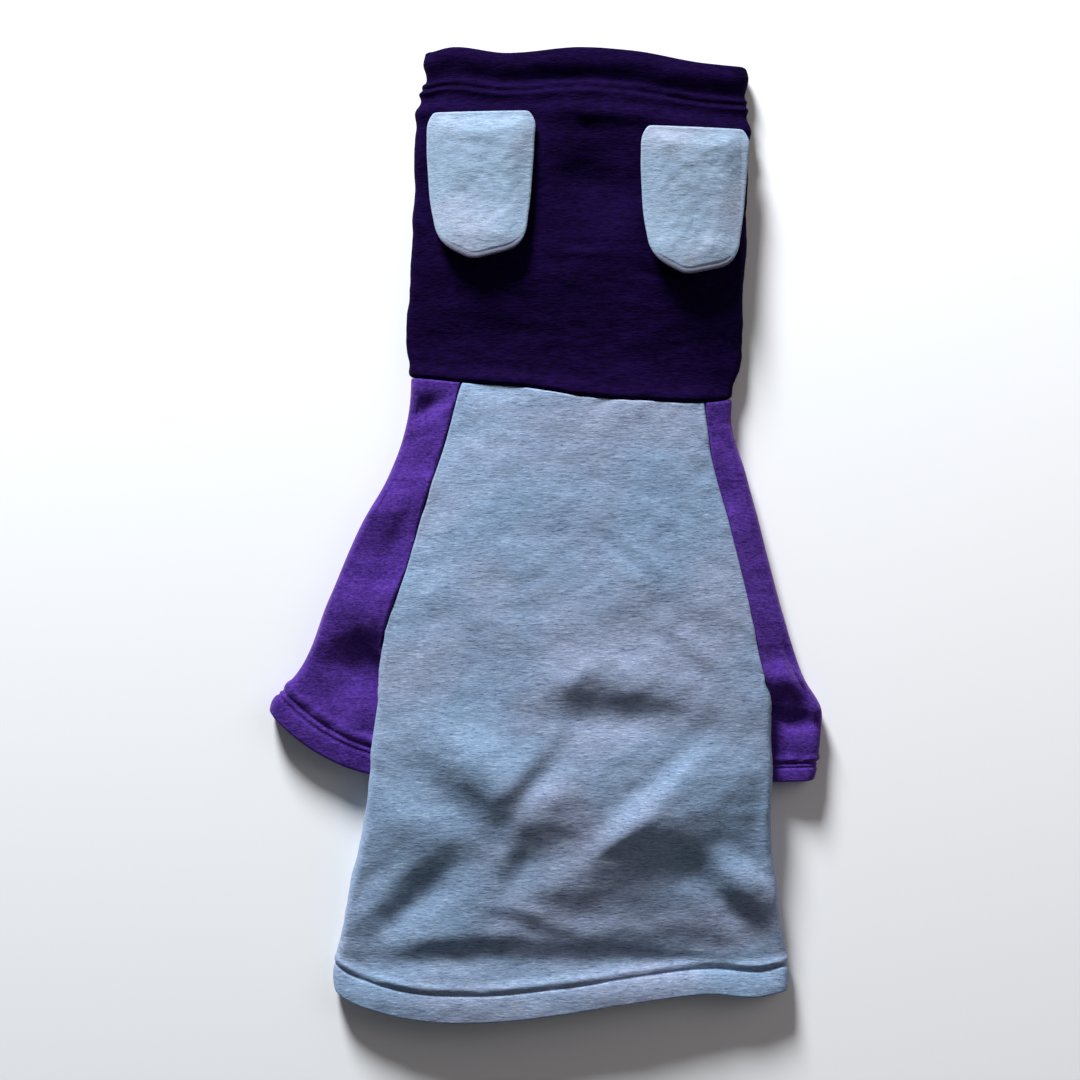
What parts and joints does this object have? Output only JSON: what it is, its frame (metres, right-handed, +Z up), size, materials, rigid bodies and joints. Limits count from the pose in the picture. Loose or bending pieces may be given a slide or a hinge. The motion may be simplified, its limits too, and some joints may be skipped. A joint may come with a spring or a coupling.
{
  "type": "dog hoodie",
  "caption": "Pull-on dog hoodie laid flat, back up: marl sweatshirt body, fleece hood with ear flaps and fleece raglan sleeves, all open inside.",
  "frame": {"origin": "on the surface it lies on, under the middle of its outline", "axes": "+Y along the back from the hem to the hood, +X across the back to the right as seen from above, +Z up off the surface"},
  "size_m": [0.3958, 0.6962, 0.044],
  "materials": {
    "sweatshirt": "blue-grey marl sweatshirt jersey",
    "ear_sweatshirt": "blue-grey marl sweatshirt jersey, double layer",
    "sleeve_fleece": "purple brushed fleece",
    "hood_fleece": "very dark purple brushed fleece"
  },
  "bodies": {
    "root": {"back_panel": "sweatshirt", "belly_panel": "sweatshirt", "hood": "hood_fleece", "sleeve_left": "sleeve_fleece", "sleeve_right": "sleeve_fleece", "ear_left": "ear_sweatshirt", "ear_right": "ear_sweatshirt"}
  },
  "joints": []
}
